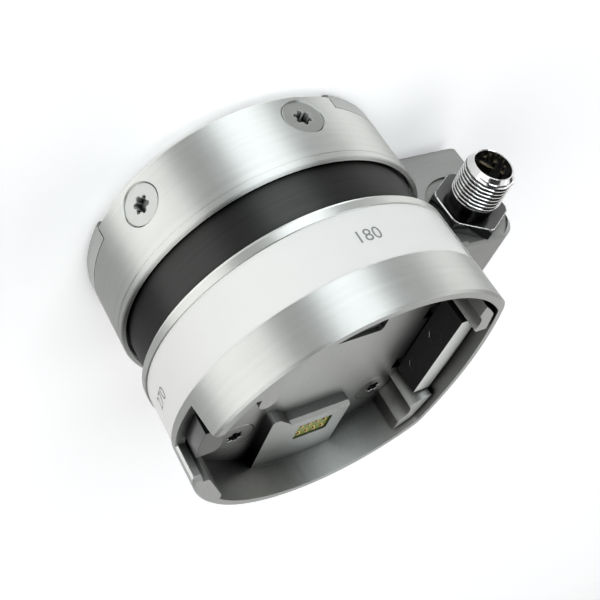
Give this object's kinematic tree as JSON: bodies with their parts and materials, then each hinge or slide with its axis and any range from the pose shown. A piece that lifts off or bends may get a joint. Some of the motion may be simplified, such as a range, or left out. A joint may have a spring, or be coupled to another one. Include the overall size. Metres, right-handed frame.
{
  "type": "force torque sensor",
  "caption": "Six-axis force torque sensor for a robot wrist, with a screwed mounting ring, a side arm with a round threaded connector, and a quick-release tool socket.",
  "frame": {"origin": "centre of the face that bolts to the robot flange", "axes": "+Z along the sensor's axis from the robot to the tool, +Y towards the connector arm and the release button, the connector points to -X"},
  "size_m": [0.071, 0.093, 0.0526],
  "materials": {
    "ring_aluminium": "turned aluminium with fine rings round its axis",
    "body_aluminium": "milled and turned aluminium, satin",
    "socket_aluminium": "milled aluminium, satin, turned outside",
    "dark_anodised": "black anodised, satin",
    "screw_steel": "bright steel screw heads",
    "small_screw_steel": "plain steel screws",
    "seal_rubber": "black soft rubber",
    "flexure_aluminium": "milled aluminium",
    "board_green": "green solder mask",
    "chip_black": "black moulded package",
    "label_white": "off-white printed film, matt",
    "connector_nickel": "nickel plated brass, polished",
    "insert_black": "black moulded insulator",
    "contact_gold": "gold plated contacts",
    "carrier_green": "olive insulating block",
    "hard_steel": "hardened and ground steel",
    "latch_aluminium": "milled aluminium"
  },
  "bodies": {
    "sensor": {"adapter_plate": "ring_aluminium", "mounting_ring": "ring_aluminium", "sensor_body": "body_aluminium", "socket_housing": "socket_aluminium", "band_cover": "dark_anodised", "radial_screws": "screw_steel", "socket_screws": "screw_steel", "flexure_screws": "small_screw_steel", "hub_screws": "small_screw_steel", "board_screws": "small_screw_steel", "gap_seal": "seal_rubber", "connector_seal": "seal_rubber", "flexure": "flexure_aluminium", "sensor_board": "board_green", "contact_board": "board_green", "optical_sensors": "chip_black", "label_band": "label_white", "connector_shell": "connector_nickel", "connector_insert": "insert_black", "connector_pins": "contact_gold", "contact_pins": "contact_gold", "contact_carrier": "carrier_green", "hook_block": "hard_steel", "guide_pins": "hard_steel", "latch_springs": "hard_steel"},
    "latch": {"latch_bar": "latch_aluminium", "release_button": "latch_aluminium", "link_screws": "small_screw_steel"}
  },
  "joints": [
    {"name": "release_slide", "type": "slide", "parent": "sensor", "child": "latch", "axis": [0, -1, 0], "range_m": [0, 0.0025], "stiffness_N_per_m": 1000, "springref_m": -0.004, "deforming": ["latch_springs"]}
  ]
}
